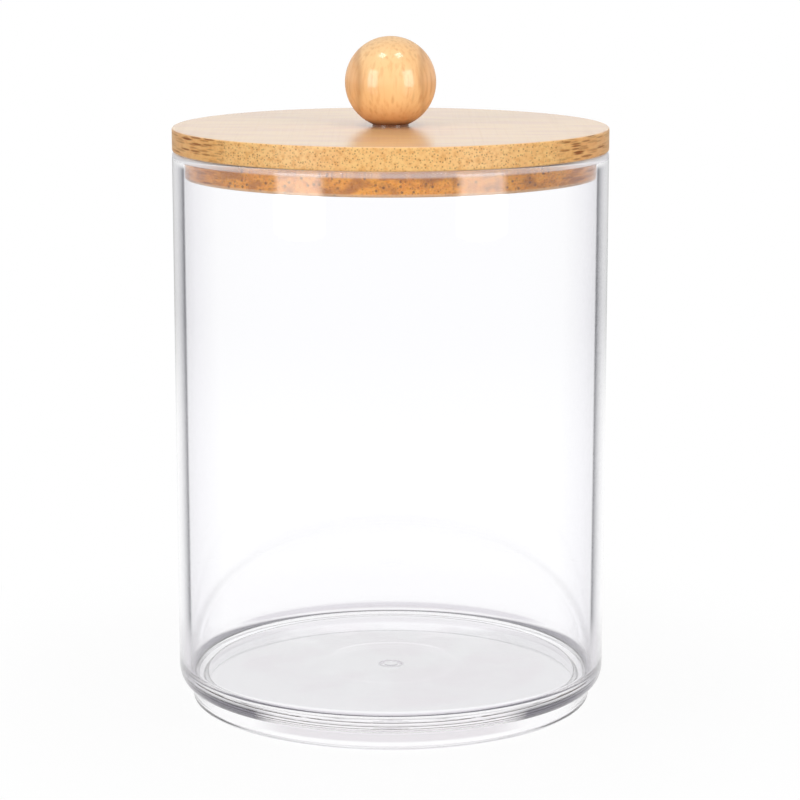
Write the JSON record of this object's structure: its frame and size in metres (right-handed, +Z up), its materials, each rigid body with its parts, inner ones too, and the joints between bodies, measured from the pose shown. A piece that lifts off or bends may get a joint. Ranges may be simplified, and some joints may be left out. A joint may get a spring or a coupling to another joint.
{
  "type": "cotton swab holder",
  "caption": "Clear cylindrical jar with a stepped stacking foot, closed by a plug-fit wooden lid with a ball knob.",
  "frame": {"origin": "centre of the foot's bottom, on the surface that the jar stands on", "axes": "+Z up along the jar's axis, towards the knob; X and Y lie in the resting plane"},
  "size_m": [0.07, 0.07, 0.1083],
  "materials": {
    "clear_plastic": "clear, polished",
    "bamboo_board": "satin lacquer",
    "bamboo_ball": "semi-gloss lacquer",
    "screw_steel": "zinc plated"
  },
  "bodies": {
    "jar": {"jar": "clear_plastic"},
    "lid": {"lid": "bamboo_board", "knob": "bamboo_ball", "lid_screw": "screw_steel"}
  },
  "joints": [
    {"name": "lid_lift", "type": "slide", "parent": "jar", "child": "lid", "axis": [0, 0, 1], "range_m": [0, 0.04]}
  ]
}
